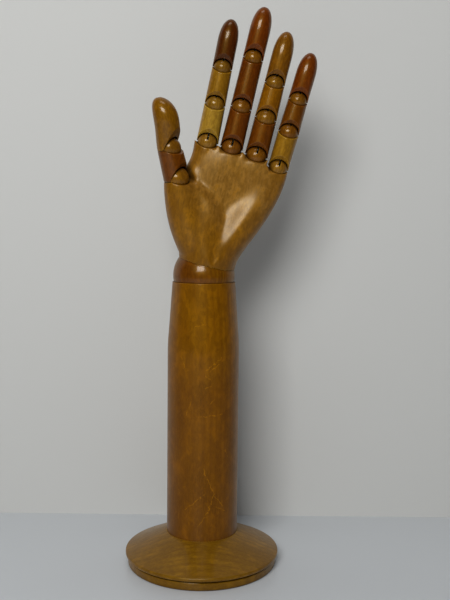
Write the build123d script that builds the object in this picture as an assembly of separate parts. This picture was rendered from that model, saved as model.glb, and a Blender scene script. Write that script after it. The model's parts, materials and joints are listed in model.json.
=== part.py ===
"""Jointed wooden display hand on a turned forearm and a round base.

Every finger is a chain of turned wooden segments.  Between two segments sits a loose
wooden ball in two facing sockets, and a sprung wire loop in the lower segment holds a
screw eye of the upper segment at the centre of that ball.  The palm is carried in the
same way by a large wrist ball in the cup at the top of the forearm.

Frame: origin at the centre of the base on the floor, +Z up, the palm faces -Y and the
little finger is on the +X side.  Millimetres and degrees.
"""
import os
from math import cos, pi, radians, sin, sqrt, tan

from build123d import *

# Base: a turned disc with a bead, a groove and a low conical top
base_rim_radius = 60.5
base_foot_inset = 1.9
base_foot_radius = base_rim_radius - base_foot_inset
base_band_height = 6.4
base_groove_depth = 1.4
base_groove_width = 1.1
base_rim_height = 10.3
base_top_height = 25.4
base_edge_round = 1.0
forearm_seat_depth = 4.0

# Forearm: a turned column that narrows towards the wrist
forearm_radius = 27.9
forearm_rim_height = 223.1
forearm_shoulder_drop = 49.1
forearm_straight_top = forearm_rim_height - forearm_shoulder_drop
forearm_shoulder_round = 170.0
swivel_web_thickness = 8.0
forearm_bore_radius = 9.0

# Wrist
wrist_ball_radius = 23.9
wrist_ball_rise = 5.1
wrist_height = forearm_rim_height + wrist_ball_rise
forearm_rim_wall = 0.5
forearm_rim_radius = wrist_ball_radius + forearm_rim_wall
wrist_gap = 0.25
wrist_wire = 2.2
wrist_loop_radius = 5.5
stud_wire = 1.8
stud_loop_radius = 2.7
wrist_cavity_clearance = 1.05
wrist_cavity_radius = wrist_loop_radius * 1.5 + wrist_wire / 2 + wrist_cavity_clearance
wrist_swing = 22.0
wrist_spring_radius = 4.4
wrist_spring_drop = 9.1
wrist_spring_top = wrist_ball_radius + wrist_spring_drop
wrist_spring_length = 38.0
swivel_web_drop = 35.2
swivel_web_height = wrist_height - wrist_spring_top - wrist_spring_length - swivel_web_drop
wrist_eye_thread = 14.0
stud_head_radius = 4.2
stud_head_thickness = 2.4

# Attitude of the hand on the wrist ball at rest
hand_lean = 4.5
hand_tilt = 11.0

# Palm
palm_rim_height = 9.6
palm_rim_lean = 4.0
knuckle_depth = 24.0
knuckle_taper = 2.5
knuckle_gap = 1.3
seat_margin = 0.6
thumb_room = 1.0
thumb_swing_steps = 3
thenar_neck = 14.0
thenar_swell = 2.8

# Screws that hold the base to the forearm
screw_count = 3
screw_circle_radius = 18.4
screw_radius = 2.1
screw_head_radius = 4.2
screw_bite = 14.0
screw_recess = 2.0
screw_slot_width = 1.0
screw_slot_depth = 0.9

# Small wire loops, screw eyes and springs of the finger joints
wire = 0.9
loop_radius = 2.6
ball_cavity_clearance = 0.25
ball_cavity_radius = loop_radius * 1.5 + wire / 2 + ball_cavity_clearance
slot_clearance = 0.35
slot_reach = 1.2
eye_thread = 2.6
coil_radius = 1.9
coil_gap = 0.3
coil_length = 4.0
knuckle_coil_length = 13.0
anchor_length = 2.0

# Finger joints
joint_wall = 0.8
ball_gap = 0.25
joint_face_gap = 0.25
knuckle_face_gap = 0.6
swing_gap = 0.45
upper_cut_angle = 50.0
arch_recess = 1.5
arch_forward = 0.9
lower_cut_angle = 28.0
segment_edge_round = 0.45
thumb_flex = 30.0
knuckle_flex = 70.0
middle_flex = 75.0
over_extension = 3.0
spread_room = 10.0

# Fingertips, as shares of a tip's length and radius
dome_start = 0.46
dome_power = 2.7
dome_last_angle = 82.0
straight_steps = 4
dome_steps = 6
tip_round_share = 0.08
pad_power = 1.4
finger_pad = 1.0
thumb_pad = 3.0

# Fingers: base point (x, z) on the hand, sideways angle, segment lengths, joint radii
FINGERS = {
    "index": ((-17.4, 99.6), 0.2, (28.3, 27.1, 35.6), (8.3, 7.9, 7.45)),
    "middle": ((1.2, 98.8), 2.2, (30.9, 36.6, 37.7), (8.7, 8.1, 7.7)),
    "ring": ((20.7, 97.0), 2.7, (28.5, 26.3, 38.5), (8.7, 8.35, 7.65)),
    "little": ((38.8, 91.4), 4.5, (27.5, 24.6, 35.7), (7.9, 8.0, 7.4)),
}
finger_depth = 0.0

# Thumb: base point, sideways angle, forward lean and the turn of its bending plane
thumb_base = (-34.2, -10.0, 68.8)
thumb_angle = -24.0
thumb_lean = 7.0
thumb_turn = 60.0
thumb_lengths = (23.0, 37.8)
thumb_radii = (10.0, 9.3)

# Palm sections up the hand: height, left edge, right edge, front, back, squareness
PALM_SECTIONS = (
    (6.0, -21.5, 23.3, -22.4, 22.4, 2.0),
    (20.0, -24.6, 24.4, -22.3, 21.4, 2.05),
    (36.0, -30.5, 31.7, -20.5, 19.4, 2.15),
    (52.0, -35.0, 38.7, -17.0, 17.0, 2.3),
    (66.0, -34.5, 43.5, -13.8, 14.6, 2.5),
    (80.0, -29.6, 46.3, -10.8, 12.2, 2.8),
    (92.0, -27.0, 46.7, -8.8, 10.4, 3.0),
    (106.0, -25.6, 46.7, -7.6, 9.0, 3.2),
)
section_points = 16

# Thenar mass that carries the thumb seat, and the shallow hollow of the palm
thenar_foot = (-4.0, -3.5, 14.0)
thenar_foot_radius = 15.5
thenar_foot_angle = -14.4
HOLLOW_SECTIONS = (
    (10.0, 5.5, -24.0, 2.5, 2.0),
    (32.0, 8.0, -24.0, 14.0, 6.2),
    (56.0, 11.0, -22.0, 25.0, 8.4),
    (80.0, 12.0, -18.5, 33.0, 8.6),
    (112.0, 12.0, -15.0, 36.0, 7.6),
)


def hand_frame():
    """The hand's own frame: origin at the wrist ball, Z up the hand, -Y out of the palm."""
    return Pos(0, 0, wrist_height) * Rot(hand_lean, 0, 0) * Rot(0, hand_tilt, 0)


def finger_frame(name):
    """Frame of a finger's knuckle: Z along the finger, Y towards the back of the hand."""
    (x, z), angle, _, _ = FINGERS[name]
    return hand_frame() * Pos(x, finger_depth, z) * Rot(0, angle, 0)


def thumb_frame():
    """Frame of the thumb's base joint: Z along the thumb, -Y towards its bending side."""
    aim = Rot(0, thumb_angle, 0) * Rot(thumb_lean, 0, 0) * Rot(0, 0, thumb_turn)
    return hand_frame() * Pos(*thumb_base) * aim


def joint_ball_radius(segment_radius):
    return segment_radius - joint_wall


def socket_radius(segment_radius):
    return joint_ball_radius(segment_radius) + ball_gap


def turned(points):
    """A solid turned about Z from a closed outline of (radius, height) points."""
    outline = Polyline(*[(r, 0, z) for r, z in points], close=True)
    return revolve(make_face(outline), Axis.Z)


def rod(radius, bottom, top):
    """A round rod on the Z axis between two heights."""
    return Pos(0, 0, bottom) * extrude(Circle(radius), top - bottom)


def block(x, y, z):
    """A box between (low, high) pairs on each axis."""
    size = [high - low for low, high in (x, y, z)]
    centre = [(high + low) / 2 for low, high in (x, y, z)]
    return Pos(*centre) * Box(*size)


# Wires, springs and eyes -------------------------------------------------------------


def upright_loop(radius, thickness, across_x):
    """A closed wire loop through the joint centre, standing on the upper side of it.

    The loop hangs half a loop radius past the centre, so that two of them link there.
    """
    turn = Rot(0, 90, 0) if across_x else Rot(90, 0, 0)
    return Pos(0, 0, radius / 2) * turn * Torus(radius, thickness / 2)


def screw_eye(radius, thickness, thread_end, across_x):
    """A loop on a straight shank that screws into the piece above the joint."""
    shank = rod(thickness / 2, radius * 1.5, thread_end)
    return upright_loop(radius, thickness, across_x) + shank


def coil(radius, thickness, bottom, top):
    """A closely wound spring as one turned solid with a ridge for every turn."""
    turns = round((top - bottom) / thickness)
    pitch = (top - bottom) / turns
    mean = radius - thickness / 2
    edges = [Line((0, 0, bottom), (mean, 0, bottom))]
    for k in range(turns):
        low = bottom + k * pitch
        points = (mean, 0, low), (radius, 0, low + pitch / 2), (mean, 0, low + pitch)
        edges.append(ThreePointArc(*points))
    edges.append(Line((mean, 0, top), (0, 0, top)))
    edges.append(Line((0, 0, top), (0, 0, bottom)))
    return revolve(make_face(edges), Axis.Z)


def joint_spring(seat_radius, length):
    """Spring of a finger joint, in the frame of the joint, reaching down from its ball."""
    top = -(seat_radius + coil_gap)
    loop = Rot(180, 0, 0) * upright_loop(loop_radius, wire, False)
    neck = rod(wire / 2, top, -loop_radius * 1.5)
    anchor = rod(wire / 2, top - length - anchor_length, top - length)
    return loop + neck + coil(coil_radius, wire, top - length, top) + anchor


def joint_link(length, thickness):
    """A wire with a loop at each end, in place of eye and spring in a short segment."""
    lower = upright_loop(loop_radius, thickness, True)
    upper = Pos(0, 0, length) * Rot(180, 0, 0) * upright_loop(loop_radius, thickness, False)
    return lower + rod(thickness / 2, loop_radius * 1.5, length - loop_radius * 1.5) + upper


def spring_bore(seat_radius, length):
    """The hole in a segment or in the palm that holds a joint spring and its anchor."""
    bottom = -(seat_radius + coil_gap + length)
    bore = rod(coil_radius + coil_gap, bottom, 0)
    return bore + rod(wire / 2, bottom - anchor_length, bottom)


# Balls ------------------------------------------------------------------------------


def slot(width, reach, start, end, side):
    """A slot out of a ball's centre that sweeps between two angles from its pole.

    The sweep is in the plane of bending; side is +1 for the upper pole, -1 for the lower.
    """
    middle = (start + end) / 2
    rim = reach / cos(radians((end - start) / 2))
    corners = [(0, 0, 0)]
    for angle, distance in ((start, reach), (middle, rim), (end, reach)):
        a = radians(angle)
        corners.append((0, -distance * sin(a), side * distance * cos(a)))
    fan = extrude(make_face(Polyline(*corners, close=True)), width / 2, dir=(1, 0, 0), both=True)
    for angle in (start, end):
        fan += Rot(side * angle, 0, 0) * rod(width / 2, 0, side * reach)
    return fan


def joint_ball(segment_radius, upper_sweep, lower_sweep, side_room):
    """A loose ball with a hollow middle and a slot for the wires at each pole."""
    radius = joint_ball_radius(segment_radius)
    width = wire + 2 * slot_clearance
    reach = radius * slot_reach
    ball = Sphere(radius) - Sphere(ball_cavity_radius)
    ball -= slot(width, reach, -over_extension, upper_sweep, 1)
    if side_room:
        ball -= Rot(0, 0, 90) * slot(width, reach, -side_room, side_room, -1)
    else:
        ball -= slot(width, reach, -over_extension, lower_sweep, -1)
    return ball


# Segments ---------------------------------------------------------------------------


def palmar_cut(radius, angle, side):
    """Everything on the bending side of a joint that its window opens."""
    reach = 2.2 * radius
    drop = reach * tan(radians(angle))
    gap = joint_face_gap
    far = reach + gap
    corners = [(reach, 0, -side * far), (0, 0, -side * far), (0, 0, side * gap)]
    corners.append((reach, 0, side * (gap + drop)))
    wedge = extrude(make_face(Polyline(*corners, close=True)), 2 * radius, dir=(0, 1, 0), both=True)
    return Rot(0, 0, -90) * wedge


def lower_end_cut(radius):
    """Room at the lower end of a segment for the joint below it."""
    slab = block((-2 * radius, 2 * radius), (-2 * radius, 2 * radius), (-2 * radius, joint_face_gap))
    arch = Pos(0, -arch_forward, arch_recess) * Sphere(joint_ball_radius(radius))
    return slab + palmar_cut(radius, upper_cut_angle, 1) + Sphere(socket_radius(radius)) + arch


def upper_end_cut(radius):
    """Room at the upper end of a segment for the joint above it."""
    slab = block((-2 * radius, 2 * radius), (-2 * radius, 2 * radius), (-joint_face_gap, radius))
    return slab + palmar_cut(radius, lower_cut_angle, -1) + Sphere(socket_radius(radius))


def swing_room(radius):
    """The barrel-shaped space that the lower edge of a segment sweeps as it bends."""
    across = radius + swing_gap
    around = across / cos(radians(upper_cut_angle))
    arc = EllipticalCenterArc((0, 0), across, around, start_angle=0, arc_size=180)
    return revolve(make_face([arc, Line((-across, 0), (across, 0))]), Axis.X)


def seat_cut(radius, room, flex):
    """Room in the palm for the joint at its edge and for the segment as it bends."""
    footprint = rod(room, -2 * radius, 4 * radius) + swing_room(radius)
    footprint += Rot(flex, 0, 0) * rod(radius + swing_gap, 0, 3 * radius)
    wedge = palmar_cut(radius, lower_cut_angle, -1) & footprint
    return wedge + rod(room, -knuckle_face_gap, 4 * radius) + Sphere(socket_radius(radius))


def eye_hole(segment_radius):
    """Pilot hole of the screw eye in the lower end of a segment."""
    return rod(wire / 2, 0, socket_radius(segment_radius) + eye_thread)


def shank_segment(length, lower, upper, sprung):
    """A segment with a joint at each end, bored for a spring or only for a link."""
    body = Pos(0, 0, length / 2) * Cone(lower, upper, length)
    body = fillet(body.edges().filter_by(GeomType.CIRCLE), segment_edge_round)
    body -= lower_end_cut(lower)
    body -= Pos(0, 0, length) * upper_end_cut(upper)
    if sprung:
        body -= Pos(0, 0, length) * spring_bore(socket_radius(upper), coil_length)
        return body - eye_hole(lower)
    return body - rod(wire / 2, 0, length)


def tip_sections():
    """Sections up a fingertip as (share of its length, share of its radius)."""
    rows = [(dome_start * k / straight_steps, 1) for k in range(straight_steps)]
    for k in range(dome_steps + 1):
        up = sin(radians(dome_last_angle) * k / dome_steps)
        rows.append((dome_start + (1 - dome_start) * up, sqrt(1 - up**dome_power)))
    return rows


def tip_segment(length, radius, pad):
    """The last segment: domed, with its soft pad on the bending side."""
    sections = []
    for along, width in tip_sections():
        push = pad * sin(pi * along**pad_power)
        sections.append(Plane((0, -push, along * length)) * Circle(radius * width))
    body = loft(sections)
    body = fillet(body.edges().sort_by(Axis.Z)[-1], radius * tip_round_share)
    return body - lower_end_cut(radius) - eye_hole(radius)


# Whole pieces -----------------------------------------------------------------------


def base():
    """Turned base with the forearm's seat, the screw holes and their recesses."""
    groove_floor = base_foot_radius - base_groove_depth
    groove_top = base_band_height + base_groove_width
    r = base_edge_round
    outline = [(0, 0), (base_foot_radius, 0), (base_foot_radius, base_band_height),
               (groove_floor, base_band_height), (groove_floor, groove_top),
               (base_rim_radius, groove_top), (base_rim_radius, base_rim_height),
               (forearm_radius, base_top_height), (0, base_top_height)]
    body = turned(outline)
    rims = body.edges().filter_by(GeomType.CIRCLE)
    outer = [e for e in rims if e.radius > groove_floor + 0.1 and e.center().Z < base_rim_height + 1]
    body = fillet(outer, r)
    body -= rod(forearm_radius, base_top_height - forearm_seat_depth, base_top_height + 1)
    for place in PolarLocations(screw_circle_radius, screw_count):
        body -= place * screw_hole()
    return body


def screw_hole():
    """Clearance hole and countersunk recess of one base screw."""
    head = screw_head_radius - screw_radius
    hole = rod(screw_radius, 0, base_top_height)
    sink = Pos(0, 0, screw_recess + head / 2) * Cone(screw_head_radius, screw_radius, head)
    return hole + sink + rod(screw_head_radius, 0, screw_recess)


def base_screws():
    """The countersunk screws that run up through the base into the forearm."""
    head = screw_head_radius - screw_radius
    seat = base_top_height - forearm_seat_depth
    tip = seat + screw_bite
    one = rod(screw_radius, screw_recess, tip - 2 * screw_radius)
    one += Pos(0, 0, screw_recess + head / 2) * Cone(screw_head_radius, screw_radius, head)
    one += Pos(0, 0, tip - screw_radius) * Cone(screw_radius, 0, 2 * screw_radius)
    half = screw_slot_width / 2
    reach = screw_head_radius
    groove = (screw_recess, screw_recess + screw_slot_depth)
    one -= block((-half, half), (-reach, reach), groove)
    return [place * one for place in PolarLocations(screw_circle_radius, screw_count)]


def forearm():
    """Turned column with the wrist cup, the spring bore and the swivel web."""
    seat = base_top_height - forearm_seat_depth
    corners = [(forearm_radius, 0, seat), (forearm_radius, 0, forearm_straight_top)]
    corners.append((forearm_rim_radius, 0, forearm_rim_height))
    side = FilletPolyline(*corners, radius=forearm_shoulder_round)
    ends = Polyline(corners[-1], (0, 0, forearm_rim_height), (0, 0, seat), corners[0])
    body = revolve(make_face(side.edges() + ends.edges()), Axis.Z)
    body -= Pos(0, 0, wrist_height) * Sphere(wrist_ball_radius + wrist_gap)
    web_top = swivel_web_height + swivel_web_thickness
    body -= rod(wrist_spring_radius + 2 * wrist_gap, web_top, wrist_height)
    body -= rod(wrist_wire / 2 + slot_clearance / 2, swivel_web_height, web_top)
    body -= rod(forearm_bore_radius, seat, swivel_web_height)
    for place in PolarLocations(screw_circle_radius, screw_count):
        pilot = rod(screw_radius, seat, seat + screw_bite - 2 * screw_radius)
        cone = Pos(0, 0, seat + screw_bite - screw_radius) * Cone(screw_radius, 0, 2 * screw_radius)
        body -= place * (pilot + cone)
    return body


def wrist_stud():
    """Headed stud that turns in the forearm's web and carries the spring's lower loop."""
    head_top = swivel_web_height - ball_gap / 2
    link = stud_link_height()
    eye = Pos(0, 0, link) * Rot(180, 0, 0) * upright_loop(stud_loop_radius, stud_wire, True)
    shank = rod(wrist_wire / 2, head_top, link - stud_loop_radius - stud_wire / 2)
    return eye + shank + rod(stud_head_radius, head_top - stud_head_thickness, head_top)


def stud_link_height():
    """Height at which the stud's loop and the spring's lower loop link."""
    return wrist_height - wrist_spring_top - wrist_spring_length - wrist_loop_radius


def wrist_spring():
    """Large spring from the stud to the middle of the wrist ball."""
    top = -wrist_spring_top
    bottom = top - wrist_spring_length
    upper = Rot(180, 0, 0) * upright_loop(wrist_loop_radius, wrist_wire, True)
    upper += rod(wrist_wire / 2, top, -wrist_loop_radius * 1.5)
    body = coil(wrist_spring_radius, wrist_wire, bottom, top)
    small = Pos(0, 0, bottom - wrist_loop_radius)
    lower = small * upright_loop(stud_loop_radius, stud_wire, False)
    lower += rod(stud_wire / 2, bottom - wrist_loop_radius + stud_loop_radius * 1.5, bottom)
    return Pos(0, 0, wrist_height) * (upper + body + lower)


def wrist_ball():
    """Loose ball of the wrist, hollow in the middle, slotted crosswise at its poles."""
    width = wrist_wire + 2 * slot_clearance
    reach = wrist_ball_radius * slot_reach
    room = wrist_swing + 1
    ball = Sphere(wrist_ball_radius) - Sphere(wrist_cavity_radius)
    ball -= Rot(0, 0, 90) * slot(width, reach, -room, room, 1)
    ball -= slot(width, reach, -room, room, -1)
    return Pos(0, 0, wrist_height) * Rot(hand_lean, 0, 0) * ball


def palm_section(height, left, right, front, back, squareness):
    """One closed outline across the palm, rounder for a low squareness."""
    power = 2 / squareness
    points = []
    for k in range(section_points):
        angle = 2 * pi * k / section_points
        c, s = cos(angle), sin(angle)
        x = (left + right) / 2 + (right - left) / 2 * abs(c) ** power * (1 if c > 0 else -1)
        y = (front + back) / 2 + (back - front) / 2 * abs(s) ** power * (1 if s > 0 else -1)
        points.append((x, y, height))
    return make_face(Spline(*points, periodic=True))


def thenar():
    """Cone-shaped mass from the middle of the palm up to the seat of the thumb."""
    foot = Pos(*thenar_foot)
    seat = Pos(*thumb_base) * Rot(0, thumb_angle, 0) * Rot(thumb_lean, 0, 0)
    top = Plane(seat) * Circle(thumb_radii[0])
    below = Plane(seat * Pos(0, 0, -thenar_neck)) * Circle(thumb_radii[0] + thenar_swell)
    bottom = Plane(foot * Rot(0, thenar_foot_angle, 0)) * Circle(thenar_foot_radius)
    return loft([bottom, below, top])


def palm():
    """The carved palm with its knuckle seats, thumb seat, sockets and wrist cup."""
    to_hand = hand_frame().inverse()
    body = loft([palm_section(*row) for row in PALM_SECTIONS])
    for name, (_, _, _, radii) in FINGERS.items():
        column = Cone(radii[0] - knuckle_taper, radii[0], knuckle_depth)
        body += to_hand * finger_frame(name) * Pos(0, 0, -knuckle_depth / 2) * column
    body += thenar()
    sections = []
    for height, x, y, rx, ry in HOLLOW_SECTIONS:
        sections.append(Plane((x, y, height)) * Ellipse(rx, ry))
    body -= loft(sections)
    for name, (_, _, _, radii) in FINGERS.items():
        seat = to_hand * finger_frame(name)
        half = radii[0] + knuckle_gap
        deep = 4 * radii[0]
        body -= seat * block((-half, half), (-deep, deep), (-knuckle_face_gap, deep))
        body -= seat * seat_cut(radii[0], radii[0] + seat_margin, knuckle_flex)
        body -= seat * spring_bore(socket_radius(radii[0]), knuckle_coil_length)
    thumb = to_hand * thumb_frame()
    body -= thumb * seat_cut(thumb_radii[0], thumb_radii[0] + thumb_room, thumb_flex)
    for step in range(1, thumb_swing_steps + 1):
        bent = thumb * Rot(thumb_flex * step / thumb_swing_steps, 0, 0)
        body -= bent * rod(thumb_radii[0] + thumb_room, 0, sum(thumb_lengths))
    body -= thumb * spring_bore(socket_radius(thumb_radii[0]), knuckle_coil_length)
    body -= Rot(palm_rim_lean, 0, 0) * block((-60, 60), (-60, 60), (-60, palm_rim_height))
    body -= Sphere(wrist_ball_radius + wrist_gap)
    body -= rod(wrist_wire / 2, 0, wrist_ball_radius + wrist_gap + wrist_eye_thread)
    return hand_frame() * body


def wrist_screw_eye():
    """Screw eye of the palm, linked to the wrist spring at the ball's centre."""
    end = wrist_ball_radius + wrist_gap + wrist_eye_thread
    return hand_frame() * screw_eye(wrist_loop_radius, wrist_wire, end, False)


def knuckle_springs():
    """The springs in the palm, one for each finger and one for the thumb."""
    springs = []
    for name, (_, _, _, radii) in FINGERS.items():
        springs.append(finger_frame(name) * joint_spring(socket_radius(radii[0]), knuckle_coil_length))
    springs.append(thumb_frame() * joint_spring(socket_radius(thumb_radii[0]), knuckle_coil_length))
    return springs


def finger(name, frame, lengths, radii, first_flex, pad):
    """All pieces of one finger as a dictionary of node name to solid."""
    titles = ("proximal", "middle", "distal") if len(lengths) == 3 else ("proximal", "distal")
    sprung = len(lengths) == 3
    half = middle_flex / 2 + 1
    pieces = {}
    for k, title in enumerate(titles):
        radius = radii[k]
        sweeps = (first_flex + 1, 0, spread_room) if k == 0 else (half, half, 0)
        pieces[f"{name}_{'knuckle' if k == 0 else title}_ball"] = frame * joint_ball(radius, *sweeps)
        if k == len(titles) - 1:
            pieces[f"{name}_{title}"] = frame * tip_segment(lengths[k], radius, pad)
        else:
            above = radii[k + 1]
            pieces[f"{name}_{title}"] = frame * shank_segment(lengths[k], radius, above, sprung)
        if sprung or k > 0:
            end = socket_radius(radius) + eye_thread
            pieces[f"{name}_{title}_eye"] = frame * screw_eye(loop_radius, wire, end, True)
        else:
            pieces[f"{name}_{title}_link"] = frame * joint_link(lengths[k], wire)
        frame = frame * Pos(0, 0, lengths[k])
        if sprung and k < len(titles) - 1:
            spring = joint_spring(socket_radius(radii[k + 1]), coil_length)
            pieces[f"{name}_{title}_spring"] = frame * spring
    return pieces


def build():
    """Every node of the hand, keyed by its name."""
    nodes = {
        "base": base(),
        "base_screws": Compound(children=base_screws()),
        "forearm": forearm(),
        "wrist_stud": wrist_stud(),
        "wrist_spring": wrist_spring(),
        "wrist_ball": wrist_ball(),
        "palm": palm(),
        "wrist_screw_eye": wrist_screw_eye(),
        "knuckle_springs": Compound(children=knuckle_springs()),
    }
    for name, (_, _, lengths, radii) in FINGERS.items():
        nodes |= finger(name, finger_frame(name), lengths, radii, knuckle_flex, finger_pad)
    nodes |= finger("thumb", thumb_frame(), thumb_lengths, thumb_radii, thumb_flex, thumb_pad)
    return nodes


if __name__ == "__main__":
    os.makedirs("parts", exist_ok=True)
    for node, solid in build().items():
        export_step(solid, f"parts/{node}.step")
        print(node)
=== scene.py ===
"""Varnished wooden display hand on a forearm and round base, dressed around its CAD frame.

Lengths are metres in the frame's own axes: +Z up, the palm faces -Y.
"""
import json
from math import cos, pi, radians, sin

import bpy
import numpy as np
from mathutils import Matrix, Vector


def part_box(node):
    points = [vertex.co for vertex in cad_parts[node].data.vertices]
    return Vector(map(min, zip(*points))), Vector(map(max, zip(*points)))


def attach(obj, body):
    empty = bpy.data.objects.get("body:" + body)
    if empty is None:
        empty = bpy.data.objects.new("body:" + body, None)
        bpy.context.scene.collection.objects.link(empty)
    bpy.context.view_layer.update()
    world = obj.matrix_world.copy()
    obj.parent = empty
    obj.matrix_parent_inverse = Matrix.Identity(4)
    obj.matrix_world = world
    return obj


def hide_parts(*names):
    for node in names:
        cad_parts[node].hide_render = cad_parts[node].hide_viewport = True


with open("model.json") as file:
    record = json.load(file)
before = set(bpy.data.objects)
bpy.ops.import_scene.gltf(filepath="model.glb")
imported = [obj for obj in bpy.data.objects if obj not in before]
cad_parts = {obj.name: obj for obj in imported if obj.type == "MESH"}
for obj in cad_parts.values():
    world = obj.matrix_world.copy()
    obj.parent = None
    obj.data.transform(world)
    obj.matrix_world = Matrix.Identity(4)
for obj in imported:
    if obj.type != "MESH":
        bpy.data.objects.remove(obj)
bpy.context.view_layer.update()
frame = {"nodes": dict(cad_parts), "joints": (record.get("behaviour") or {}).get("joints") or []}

MM = 0.001

# The frame's own joints, by name
JOINTS = {j["name"]: j for j in frame["joints"]}
FINGER_NAMES = ("index", "middle", "ring", "little")
DIGITS = FINGER_NAMES + ("thumb",)


def joint_point(name):
    return Vector(JOINTS[name]["pos_m"])


def add_object(name, data):
    """A new object in the scene's collection."""
    thing = bpy.data.objects.new(name, data)
    bpy.context.scene.collection.objects.link(thing)
    return thing


# Camera, lights and stage -------------------------------------------------------------

CAMERA_PLACE = (0.0165, -0.6391, 0.2698)
CAMERA_PITCH = radians(-5.44)
CAMERA_ROLL = radians(0.6)
CAMERA_LENS_MM = 49.5
CAMERA_SENSOR_MM = 36
CAMERA_CLIP = 0.01

# Name, place, aim, size, power in watts and colour of each lamp
LAMPS = (
    ("softbox", (-0.26, -1.2, 0.84), (0, 0, 0.24), (0.62, 0.45), 14.0, (1, 0.99, 0.975)),
    ("top", (0, -0.45, 1.6), (0, 0.02, 0.2), (0.6, 0.3), 2.5, (1, 1, 0.99)),
)
ROOM_LIGHT = (0.93, 0.95, 1.0, 1)
ROOM_LIGHT_STRENGTH = 0.035

STAGE_REACH = 3.0
WALL_DISTANCE = 0.10
WALL_HEIGHT = 2.6
FLOOR_COLOUR = (0.60, 0.63, 0.66)
FLOOR_ROUGHNESS = 0.35
WALL_COLOUR = (0.60, 0.605, 0.59)
WALL_ROUGHNESS = 0.7


def add_camera():
    data = bpy.data.cameras.new("camera")
    data.lens = CAMERA_LENS_MM
    data.sensor_width = CAMERA_SENSOR_MM
    data.clip_start = CAMERA_CLIP
    camera = add_object("camera", data)
    aim = Matrix.Rotation(pi / 2 + CAMERA_PITCH, 4, "X") @ Matrix.Rotation(CAMERA_ROLL, 4, "Z")
    camera.matrix_world = Matrix.Translation(CAMERA_PLACE) @ aim
    bpy.context.scene.camera = camera


def add_area_light(name, place, target, size, power, tint):
    data = bpy.data.lights.new(name, "AREA")
    data.shape = "RECTANGLE"
    data.size, data.size_y = size
    data.energy = power
    data.color = tint
    light = add_object(name, data)
    light.location = place
    light.rotation_euler = (Vector(target) - Vector(place)).to_track_quat("-Z", "Y").to_euler()


def add_lights():
    for lamp in LAMPS:
        add_area_light(*lamp)
    world = bpy.data.worlds.new("studio")
    world.use_nodes = True
    background = world.node_tree.nodes["Background"]
    background.inputs["Color"].default_value = ROOM_LIGHT
    background.inputs["Strength"].default_value = ROOM_LIGHT_STRENGTH
    bpy.context.scene.world = world
    bpy.context.scene.view_settings.view_transform = "Standard"


def plain_material(name, tint, roughness):
    material = bpy.data.materials.new(name)
    material.use_nodes = True
    shader = material.node_tree.nodes["Principled BSDF"]
    shader.inputs["Base Color"].default_value = (*tint, 1)
    shader.inputs["Roughness"].default_value = roughness
    return material


def clear_from_behind(material):
    """The wall stands close behind the hand, so a camera behind it looks through it."""
    nodes, links = material.node_tree.nodes, material.node_tree.links
    mix = nodes.new("ShaderNodeMixShader")
    links.new(nodes.new("ShaderNodeNewGeometry").outputs["Backfacing"], mix.inputs["Fac"])
    links.new(nodes["Principled BSDF"].outputs["BSDF"], mix.inputs[1])
    links.new(nodes.new("ShaderNodeBsdfTransparent").outputs["BSDF"], mix.inputs[2])
    links.new(mix.outputs["Shader"], nodes["Material Output"].inputs["Surface"])


def add_plane(name, corners, material):
    mesh = bpy.data.meshes.new(name)
    mesh.from_pydata(corners, [], [range(len(corners))])
    mesh.materials.append(material)
    plane = add_object(name, mesh)


def add_stage():
    w, y, h = STAGE_REACH, WALL_DISTANCE, WALL_HEIGHT
    floor = plain_material("floor_paint", FLOOR_COLOUR, FLOOR_ROUGHNESS)
    wall = plain_material("wall_paint", WALL_COLOUR, WALL_ROUGHNESS)
    clear_from_behind(wall)
    add_plane("floor", [(-w, -w, 0), (w, -w, 0), (w, w, 0), (-w, w, 0)], floor)
    add_plane("wall", [(-w, y, 0), (w, y, 0), (w, y, h), (-w, y, h)], wall)


# Wood ---------------------------------------------------------------------------------


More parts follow.
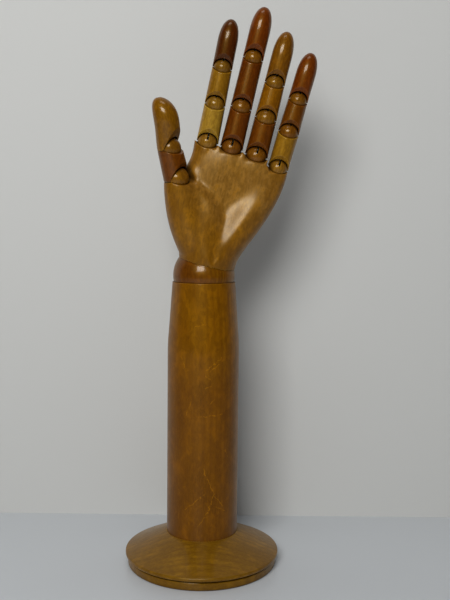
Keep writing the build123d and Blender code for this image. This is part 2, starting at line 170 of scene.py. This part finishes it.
class Nodes:
    """Small helper that adds shader nodes and joins them up."""

    def __init__(self, material):
        material.use_nodes = True
        self.tree = material.node_tree
        self.shader = self.tree.nodes["Principled BSDF"]

    def add(self, kind, inputs=(), **settings):
        node = self.tree.nodes.new(kind)
        for key, value in settings.items():
            setattr(node, key, value)
        for key, value in dict(inputs).items():
            if isinstance(value, bpy.types.NodeSocket):
                self.tree.links.new(value, node.inputs[key])
            else:
                node.inputs[key].default_value = value
        return node

    def math(self, operation, a, b=0.0, c=None, clamp=False):
        inputs = {0: a, 1: b} if c is None else {0: a, 1: b, 2: c}
        return self.add("ShaderNodeMath", inputs, operation=operation, use_clamp=clamp).outputs[0]

    def inverse(self, value):
        return self.math("SUBTRACT", 1.0, value)

    def stretched(self, vector, stretch, *settings):
        """Noise drawn out along the grain: the smaller the stretch, the longer."""
        return self.noise(self.scaled(vector, (1, 1, stretch)), *settings)

    def vector(self, operation, a, b=(0, 0, 0)):
        """A number from a length, distance or dot product, and a vector from anything else."""
        node = self.add("ShaderNodeVectorMath", {0: a, 1: b}, operation=operation)
        gives_number = operation in ("LENGTH", "DISTANCE", "DOT_PRODUCT")
        return node.outputs["Value" if gives_number else "Vector"]

    def scaled(self, vector, scale):
        return self.vector("MULTIPLY", vector, scale)

    def noise(self, vector, scale, detail=4.0, rough=0.5, distortion=0.0):
        values = {"Vector": vector, "Scale": scale, "Detail": detail, "Roughness": rough}
        values["Distortion"] = distortion
        return self.add("ShaderNodeTexNoise", values).outputs["Fac"]

    def ramp(self, value, low, high):
        """0 below low and 1 above high, smooth between."""
        node = self.add("ShaderNodeMapRange", {"Value": value, "From Min": low, "From Max": high})
        node.interpolation_type = "SMOOTHSTEP"
        return node.outputs[0]

    def mix(self, factor, a, b, blend="MIX"):
        node = self.add("ShaderNodeMix", data_type="RGBA", blend_type=blend)
        for key, value in ((0, factor), (6, a), (7, b)):
            if isinstance(value, bpy.types.NodeSocket):
                self.tree.links.new(value, node.inputs[key])
            else:
                node.inputs[key].default_value = value
        return node.outputs[2]

    def wash(self, body, mask, strength, tone):
        """A colour laid over another where the mask is high."""
        return self.mix(self.math("MULTIPLY", mask, strength), body, tone)

    def set(self, **values):
        """Values or sockets for the shader's own inputs, with _ for a space in their names."""
        for key, value in values.items():
            socket = self.shader.inputs[key.replace("_", " ")]
            if isinstance(value, bpy.types.NodeSocket):
                self.tree.links.new(value, socket)
            else:
                socket.default_value = value

    def bump(self, strength, distance, height, normal=None):
        inputs = {"Strength": strength, "Distance": distance, "Height": height}
        if normal is not None:
            inputs["Normal"] = normal
        return self.add("ShaderNodeBump", inputs).outputs[0]


# Old knocks and scratches on the front of the forearm
FOREARM_MARKS = (
    ((2.5, 158), (15, 168)), ((5.5, 156.5), (16.5, 166.5)), ((2.5, 154.5), (6.5, 151)),
    ((1.5, 144.5), (6.5, 146)), ((-12, 123.5), (-8.5, 134)), ((-3, 122.5), (15, 124)),
    ((1, 82.5), (6.5, 70)), ((6.5, 70), (9.5, 63)), ((9.5, 63), (5.5, 48.5)),
    ((5.5, 48.5), (-2.5, 37.5)), ((2.5, 63), (-14, 48.5)), ((9.5, 63), (16.5, 52.5)),
    ((11, 52.5), (18, 48)), ((-6.5, 190.5), (2.5, 193.5)), ((17, 96), (20, 90)),
    ((-16, 168), (-14, 160)), ((7, 132), (9, 136)),
)
# Painted sheen at the forearm's top front
FOREARM_SHEEN = (0.27, 0.115, 0.001, 1.0)
WORN_WOOD = (0.37, 0.215, 0.06, 1.0)
# Painted highlight on the wrist ball's right front
WRIST_BALL_SHEEN = (0.21, 0.1, 0.001, 1.0)
PALM_FLECK = (0.075, 0.032, 0.003, 1.0)
VARNISH_TINT = (1.0, 0.72, 0.16, 1.0)
VARNISH_IOR = 1.42
COAT_IOR = 1.5
WOOD_RELIEF = 0.12 * MM
STEEL_RELIEF = 0.05 * MM
# Reach of the painted shade in the joints' crevices
JOINT_SHADE_REACH = 7 * MM
# Edges within this radius get the worn, painted-highlight lightening; it also rounds the shading
# normal
EDGE_BEVEL_RADIUS = 0.8 * MM
SCRATCH_CORE, SCRATCH_EDGE = 0.12 * MM, 0.5 * MM


def colour(red, green, blue):
    return (red, green, blue, 1.0)


def shade(base, factor, warmth=0.0):
    """A lighter or darker relative of a colour; warmth shifts it towards red."""
    red, green, blue, _ = base
    red = red * factor * (1 + warmth)
    return colour(min(1, red), min(1, green * factor), min(1, blue * factor))


def engraved_lines(n, place, marks):
    """1 along a few wandering scratches on a front face, each (x, z) to (x, z) in mm."""
    drift = n.add("ShaderNodeTexNoise", {"Vector": place, "Scale": 260.0, "Detail": 2.0})
    drift = n.vector("SUBTRACT", drift.outputs["Color"], (0.5, 0.5, 0.5))
    moved = n.vector("ADD", place, n.scaled(drift, (0.005, 0, 0.005)))
    front = n.scaled(moved, (1, 0, 1))
    total = None
    for (x0, z0), (x1, z1) in marks:
        start, run = (x0 * MM, 0, z0 * MM), ((x1 - x0) * MM, 0, (z1 - z0) * MM)
        length_squared = run[0] ** 2 + run[2] ** 2
        off = n.vector("SUBTRACT", front, start)
        dot = n.vector("DOT_PRODUCT", off, run)
        share = n.math("DIVIDE", dot, length_squared, clamp=True)
        along = n.add("ShaderNodeVectorMath", {0: run, "Scale": share}, operation="SCALE")
        gap = n.vector("DISTANCE", off, along.outputs[0])
        line = n.inverse(n.ramp(gap, SCRATCH_CORE, SCRATCH_EDGE))
        total = line if total is None else n.math("MAXIMUM", total, line)
    facing = n.ramp(n.add("ShaderNodeSeparateXYZ", {0: place}).outputs["Y"], -0.008, -0.012)
    broken = n.ramp(n.noise(place, 480.0, 2.0), 0.36, 0.5)
    return n.math("MULTIPLY", n.math("MULTIPLY", total, broken), facing)


def wood(name, base, turn=(0, 0, 0), seed=0.0, pith=(0.02, 0.03, 0), ring=0.0022,
         ring_depth=0.35, mottle=0.3, cloud_scale=190.0, fleck=0.25, fleck_scale=900.0,
         fleck_colour=None, patch=None, edge_wear_and_highlight=0.85, scratches=0.0, marks=(), gloss=0.12, coat=0.4):
    """Varnished solid wood whose grain runs along Z of a frame turned by turn."""
    material = bpy.data.materials.new(name)
    n = Nodes(material)
    place = n.add("ShaderNodeTexCoord").outputs["Object"]
    mapping = n.add("ShaderNodeMapping", {"Vector": place, "Rotation": turn}, vector_type="TEXTURE")
    turned = mapping.outputs[0]
    grain = n.vector("ADD", turned, (seed, seed * 0.7, seed * 1.3))

    # Growth rings round a wandering pith that runs with the grain
    wander = n.stretched(grain, 0.16, 38.0, 2.0, 0.5)
    reach = n.vector("LENGTH", n.scaled(n.vector("SUBTRACT", turned, pith), (1, 1, 0.03)))
    warped = n.math("ADD", reach, n.math("MULTIPLY", wander, ring * 3.2))
    phase = n.math("MULTIPLY", warped, 2 * pi / ring)
    rings = n.math("POWER", n.math("MULTIPLY_ADD", n.math("SINE", phase), 0.5, 0.5), 1.7)

    # Fibres, pores and slow changes of tone
    fibres = n.stretched(grain, 0.045, 1500.0, 5.0, 0.62)
    streaks = n.stretched(grain, 0.07, 330.0, 4.0, 0.55, 0.3)
    pores = n.ramp(n.stretched(grain, 0.11, 2100.0, 2.0, 0.4), 0.60, 0.74)
    flecks = n.ramp(n.stretched(grain, 0.42, fleck_scale, 2.0, 0.5, 0.4), 0.5, 0.6)
    tone = n.stretched(grain, 0.45, 42.0, 3.0, 0.6, 0.5)
    cloud = n.stretched(grain, 0.6, cloud_scale, 3.0, 0.6, 0.6)
    dirt = n.noise(grain, 120.0, 5.0, 0.65, 0.8)

    deep = shade(base, 0.52, 0.16)
    pale = shade(base, 1.42, -0.05)
    dull, bright = shade(base, 1 - mottle, 0.06), shade(base, 1 + mottle, -0.03)
    body = n.mix(n.ramp(tone, 0.28, 0.72), dull, bright)

    # Varnish worn thin by handling on the palm; on the forearm and wrist ball the same lighter
    # patch is a painted sheen
    if patch:
        centre, radius, strength, patch_colour = patch
        off = n.vector("DISTANCE", place, centre)
        off = n.math("ADD", off, n.math("MULTIPLY", n.math("SUBTRACT", tone, 0.5), radius))
        worn_varnish_and_sheen = n.inverse(n.ramp(off, radius * 0.35, radius))
        body = n.wash(body, worn_varnish_and_sheen, strength, patch_colour)

    body = n.wash(body, n.ramp(cloud, 0.42, 0.6), 0.5, shade(base, 0.6, 0.03))
    body = n.wash(body, n.ramp(cloud, 0.47, 0.34), 0.4, shade(base, 1.7, -0.04))
    body = n.wash(body, rings, ring_depth, deep)
    body = n.wash(body, n.ramp(streaks, 0.42, 0.75), 0.45, shade(base, 0.68, 0.08))
    body = n.wash(body, n.ramp(fibres, 0.45, 0.75), 0.35, pale)
    body = n.wash(body, flecks, fleck, fleck_colour or pale)
    body = n.wash(body, pores, 0.5, shade(base, 0.38, 0.1))
    body = n.wash(body, n.ramp(dirt, 0.58, 0.8), 0.35, shade(base, 0.5, 0.1))

    # Painted shade: darker in the joints' crevices and recesses, where shade falls
    occlusion = n.add("ShaderNodeAmbientOcclusion", {"Distance": JOINT_SHADE_REACH}, samples=6)
    painted_joint_shade = n.inverse(n.ramp(occlusion.outputs["AO"], 0.15, 0.85))
    body = n.mix(painted_joint_shade, body, shade(base, 0.16, 0.1))

    # Worn edges, lightened also as a painted highlight along the rims, found where the bevelled
    # normal leaves the true one
    bevel = n.add("ShaderNodeBevel", {"Radius": EDGE_BEVEL_RADIUS}, samples=6).outputs[0]
    normal = n.add("ShaderNodeNewGeometry").outputs["Normal"]
    edge = n.ramp(n.inverse(n.vector("DOT_PRODUCT", bevel, normal)), 0.015, 0.2)
    worn_and_highlit = n.math("MULTIPLY", edge, n.ramp(n.noise(grain, 420.0, 3.0, 0.6), 0.25, 0.5))
    body = n.wash(body, worn_and_highlit, edge_wear_and_highlight, shade(base, 3.0, -0.15))

    # Fine scratches along the middle value of a slanted noise, in some places only
    slant = n.add("ShaderNodeMapping", {"Vector": grain, "Rotation": (0.5, 0.35, 0.2)})
    thin = n.stretched(slant.outputs[0], 0.05, 620.0, 1.0, 0.4, 1.4)
    off_middle = n.math("ABSOLUTE", n.math("SUBTRACT", thin, 0.5))
    lines = n.inverse(n.ramp(off_middle, 0.0, 0.006))
    where = n.ramp(n.noise(grain, 36.0, 2.0, 0.5), 0.52, 0.66)
    scuffs = n.math("MULTIPLY", n.math("MULTIPLY", lines, where), 0.28 + scratches)
    body = n.mix(scuffs, body, shade(base, 2.0, -0.1))
    if marks:
        scored = engraved_lines(n, place, marks)
        body = n.wash(body, scored, 0.62, shade(base, 2.6, -0.12))
        scuffs = n.math("MAXIMUM", scuffs, scored)

    rough = n.math("MULTIPLY_ADD", dirt, 0.22, 0.27)
    rough = n.math("ADD", rough, n.math("MULTIPLY", scuffs, 0.3))
    n.set(Base_Color=body, Roughness=rough, IOR=VARNISH_IOR, Specular_Tint=VARNISH_TINT,
          Coat_Tint=VARNISH_TINT, Coat_Weight=coat, Coat_Roughness=gloss, Coat_IOR=COAT_IOR)

    height = n.math("ADD", n.math("MULTIPLY", fibres, 0.5), n.math("MULTIPLY", rings, 0.25))
    height = n.math("SUBTRACT", height, n.math("MULTIPLY", pores, 0.6))
    height = n.math("SUBTRACT", height, n.math("MULTIPLY", scuffs, 0.6))
    height = n.math("ADD", height, n.math("MULTIPLY", dirt, 0.35))
    n.set(Normal=n.bump(0.35, WOOD_RELIEF, height, bevel),
          Coat_Normal=n.bump(0.14, WOOD_RELIEF, height, bevel))
    return material


def steel(name):
    """Drawn and turned steel with a fine lay and a little tarnish."""
    material = bpy.data.materials.new(name)
    n = Nodes(material)
    place = n.add("ShaderNodeTexCoord").outputs["Object"]
    lay = n.stretched(place, 0.1, 2600.0, 3.0, 0.6)
    tarnish = n.noise(place, 260.0, 4.0, 0.6, 0.4)
    clean, dull = colour(0.62, 0.6, 0.56), colour(0.36, 0.31, 0.25)
    body = n.mix(n.ramp(tarnish, 0.35, 0.75), clean, dull)
    rough = n.math("MULTIPLY_ADD", lay, 0.25, 0.2)
    relief = n.bump(0.25, STEEL_RELIEF, lay)
    n.set(Base_Color=body, Roughness=rough, Metallic=1.0, Normal=relief)
    return material


# Colours: every turned piece of the hand is its own cut of wood
PIECE_COLOURS = {
    "index_distal": (0.063, 0.013, 0.0006),
    "index_middle": (0.207, 0.103, 0.0060),
    "index_proximal": (0.310, 0.190, 0.0240),
    "middle_distal": (0.127, 0.026, 0.0008),
    "middle_middle": (0.108, 0.025, 0.0008),
    "middle_proximal": (0.114, 0.028, 0.0008),
    "ring_distal": (0.165, 0.066, 0.0030),
    "ring_middle": (0.193, 0.077, 0.0016),
    "ring_proximal": (0.106, 0.028, 0.0008),
    "little_distal": (0.128, 0.027, 0.0006),
    "little_middle": (0.116, 0.034, 0.0008),
    "little_proximal": (0.228, 0.118, 0.0080),
    "thumb_distal": (0.176, 0.078, 0.0020),
    "thumb_proximal": (0.114, 0.031, 0.0008),
    "index_knuckle_ball": (0.230, 0.120, 0.0140),
    "index_middle_ball": (0.190, 0.100, 0.0100),
    "index_distal_ball": (0.160, 0.080, 0.0080),
    "middle_knuckle_ball": (0.150, 0.055, 0.0040),
    "middle_middle_ball": (0.150, 0.058, 0.0040),
    "middle_distal_ball": (0.150, 0.060, 0.0040),
    "ring_knuckle_ball": (0.160, 0.062, 0.0040),
    "ring_middle_ball": (0.190, 0.088, 0.0070),
    "ring_distal_ball": (0.180, 0.086, 0.0070),
    "little_knuckle_ball": (0.200, 0.100, 0.0100),
    "little_middle_ball": (0.150, 0.058, 0.0040),
    "little_distal_ball": (0.150, 0.062, 0.0040),
    "thumb_knuckle_ball": (0.180, 0.080, 0.0050),
    "thumb_distal_ball": (0.160, 0.070, 0.0040),
    "wrist_ball": (0.118, 0.037, 0.0008),
    "palm": (0.208, 0.090, 0.0030),
    "forearm": (0.158, 0.056, 0.0003),
    "base": (0.190, 0.094, 0.0040),
}


# Middle of the palm's hollow, as shares of the palm's box
HOLLOW_SHARE = (0.58, 0.2, 0.66)


def grain_turn(direction):
    """Rotation that takes Z to the direction in which a piece's grain runs."""
    return tuple(Vector(direction).to_track_quat("Z", "Y").to_euler())


def finger_direction(name):
    """Direction of a finger, from its knuckle to its last joint."""
    first = joint_point(f"{name}_proximal_flex")
    last = joint_point(f"{name}_distal_flex")
    return (last - first).normalized()


def paint(piece, material):
    piece.data.materials.clear()
    piece.data.materials.append(material)


def piece_settings(name, k):
    """How the wood of the k-th piece differs from plain varnished wood."""
    digit = name.split("_")[0]
    settings = {"seed": 0.37 * (k + 1)}
    if digit in DIGITS:
        settings["turn"] = grain_turn(finger_direction(digit))
        settings["pith"] = (0.012 * cos(k * 2.1), 0.03 + 0.012 * sin(k * 1.7), 0)
        settings.update(cloud_scale=420.0, fleck=0.4)
    if name.endswith("ball"):
        settings.update(ring=0.0016, ring_depth=0.5)
    if name == "wrist_ball":
        # A golden patch on the wrist ball's right front: painted highlight
        settings.update(fleck=0.35, patch=((0.016, -0.018, 0.234), 0.024, 0.65, WRIST_BALL_SHEEN))
    elif name == "forearm":
        settings.update(scratches=0.5, ring=0.0034, pith=(0.05, 0.06, 0), coat=0.2)
        # A brighter amber patch at the top front of the forearm: painted sheen
        settings.update(marks=FOREARM_MARKS, patch=((0, -0.02, 0.205), 0.07, 0.6, FOREARM_SHEEN))
    elif name == "base":
        settings.update(turn=(0, pi / 2, 0), pith=(-0.03, 0.09, 0), coat=0.25)
        settings.update(ring=0.0052, ring_depth=0.62)
    elif name == "palm":
        up_the_hand = joint_point("middle_proximal_flex") - joint_point("wrist_flex")
        low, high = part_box("palm")
        hollow = [a + share * (b - a) for a, b, share in zip(low, high, HOLLOW_SHARE)]
        settings.update(turn=grain_turn(up_the_hand), gloss=0.24, coat=0.3, ring_depth=0.12)
        settings.update(fleck=0.26, fleck_scale=560.0, fleck_colour=PALM_FLECK)
        settings.update(patch=(hollow, 0.048, 0.42, WORN_WOOD))
    return settings


def add_materials():
    nodes = frame["nodes"]
    metal = steel("steel_wire")
    for k, (name, base) in enumerate(PIECE_COLOURS.items()):
        paint(nodes[name], wood(f"wood_{name}", colour(*base), **piece_settings(name, k)))
    for name, piece in nodes.items():
        if name not in PIECE_COLOURS:
            paint(piece, metal)


# Palm ---------------------------------------------------------------------------------

PALM_VOXEL = 0.5 * MM
PALM_PASSES = 190
SEAT_MARGIN = 2.5 * MM
SEAT_FADE = 7 * MM
BACK_WEIGHT, FRONT_WEIGHT = 0.12, 0.83
NORMAL_PASSES = 12
WEIGHT_PASSES = 10
SINK_PASSES = 30
SHARP_ANGLE = radians(38)


def evaluated_mesh(piece):
    """The mesh of a piece with its modifiers applied."""
    bpy.context.view_layer.update()
    graph = bpy.context.evaluated_depsgraph_get()
    return bpy.data.meshes.new_from_object(piece.evaluated_get(graph))


def remeshed(source, name, voxel):
    """A copy of a piece, remade as even quads of one size."""
    piece = add_object(name, source.data.copy())
    modifier = piece.modifiers.new("remesh", "REMESH")
    modifier.mode = "VOXEL"
    modifier.voxel_size = voxel
    mesh = evaluated_mesh(piece)
    piece.modifiers.clear()
    piece.data = mesh
    return piece


def smoothstep(value, low, high):
    t = np.clip((value - low) / (high - low), 0, 1)
    return t * t * (3 - 2 * t)


def mesh_arrays(mesh):
    """Points, normals and edges of a mesh as arrays."""
    points = np.empty(len(mesh.vertices) * 3)
    mesh.vertices.foreach_get("co", points)
    normals = np.empty(len(mesh.vertices) * 3, dtype=np.float32)
    mesh.vertex_normals.foreach_get("vector", normals)
    edges = np.empty(len(mesh.edges) * 2, dtype=np.int32)
    mesh.edges.foreach_get("vertices", edges)
    return points.reshape(-1, 3), normals.reshape(-1, 3), edges.reshape(-1, 2)


def relax(values, edges, weight, passes):
    """Move values towards the mean of their neighbours, by weight, again and again."""
    a, b = edges[:, 0], edges[:, 1]
    count = np.bincount(a, minlength=len(values)) + np.bincount(b, minlength=len(values))
    count = np.maximum(count, 1)
    values = values.copy()
    for _ in range(passes):
        for k in range(values.shape[1]):
            column = values[:, k]
            total = np.bincount(a, column[b], len(column))
            total = total + np.bincount(b, column[a], len(column))
            values[:, k] = column + weight * (total / count - column)
    return values


def seat_distance(points):
    """Distance from the nearest ball seated in the palm, less the ball's own radius."""
    nearest = np.full(len(points), 1.0)
    for ball in [f"{digit}_knuckle_ball" for digit in DIGITS] + ["wrist_ball"]:
        low, high = (np.array(corner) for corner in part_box(ball))
        radius = (high[2] - low[2]) / 2
        off = np.linalg.norm(points - (low + high) / 2, axis=1) - radius
        nearest = np.minimum(nearest, off)
    return nearest


# Hollow of the palm in the hand's own frame, mm: height, left edge, right edge
HOLLOW = ((18, 6, 6), (25, 4, 10), (33, 1, 14), (46, -0.5, 21), (56, -7, 27), (64, -17, 32),
          (72, -30, 36), (88, -45, 42))
HOLLOW_DEPTH = 3.8 * MM
LEFT_FLANK = 9.0
RIGHT_FLANK = 19.0
HOLLOW_TURN = radians(0.7)


def hand_coordinates(points):
    """Across and up the hand in mm, seen from in front, from the centre of the wrist ball."""
    wrist = np.array(joint_point("wrist_flex"))
    knuckle = np.array(joint_point("middle_proximal_flex"))
    tilt = -np.arctan2(*(knuckle - wrist)[[0, 2]]) + HOLLOW_TURN
    x, z = (points[:, 0] - wrist[0]) / MM, (points[:, 2] - wrist[2]) / MM
    return x * cos(tilt) + z * np.sin(tilt), z * cos(tilt) - x * np.sin(tilt)


def hollow_push(points):
    """How far each point of the palm's front sinks to form the hollow."""
    across, up = hand_coordinates(points)
    heights, left, right = (np.array(row, float) for row in zip(*HOLLOW))
    from_left = across - np.interp(up, heights, left)
    from_right = np.interp(up, heights, right) - across
    shape = smoothstep(from_left, -1.0, LEFT_FLANK) * smoothstep(from_right, -2.0, RIGHT_FLANK)
    return HOLLOW_DEPTH * shape * smoothstep(up, 16, 34) * (1 - smoothstep(up, 54, 90))


def carve_palm():
    """The palm with its masses blended into each other as by hand, seats left sharp."""
    palm = remeshed(frame["nodes"]["palm"], "palm_carved", PALM_VOXEL)
    points, normals, edges = mesh_arrays(palm.data)
    normals = relax(normals.astype(float), edges, 0.8, NORMAL_PASSES)
    away = smoothstep(seat_distance(points), SEAT_MARGIN, SEAT_MARGIN + SEAT_FADE)
    front = smoothstep(-normals[:, 1], 0.0, 0.6)
    weight = away * (BACK_WEIGHT + FRONT_WEIGHT * front)
    weight = relax(weight[:, None], edges, 0.7, WEIGHT_PASSES)[:, 0] * (away > 0)
    points = relax(points, edges, weight, PALM_PASSES)
    sink = hollow_push(points) * front * away
    points[:, 1] += relax(sink[:, None], edges, 0.8, SINK_PASSES)[:, 0] * (away > 0)
    palm.data.vertices.foreach_set("co", points.ravel())
    palm.data.update()
    palm.data.shade_smooth()
    palm.data.set_sharp_from_angle(angle=SHARP_ANGLE)
    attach(palm, "palm")
    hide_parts("palm")
    return palm


add_camera()
add_lights()
add_stage()
add_materials()
palm_piece = carve_palm()
paint(palm_piece, bpy.data.materials["wood_palm"])
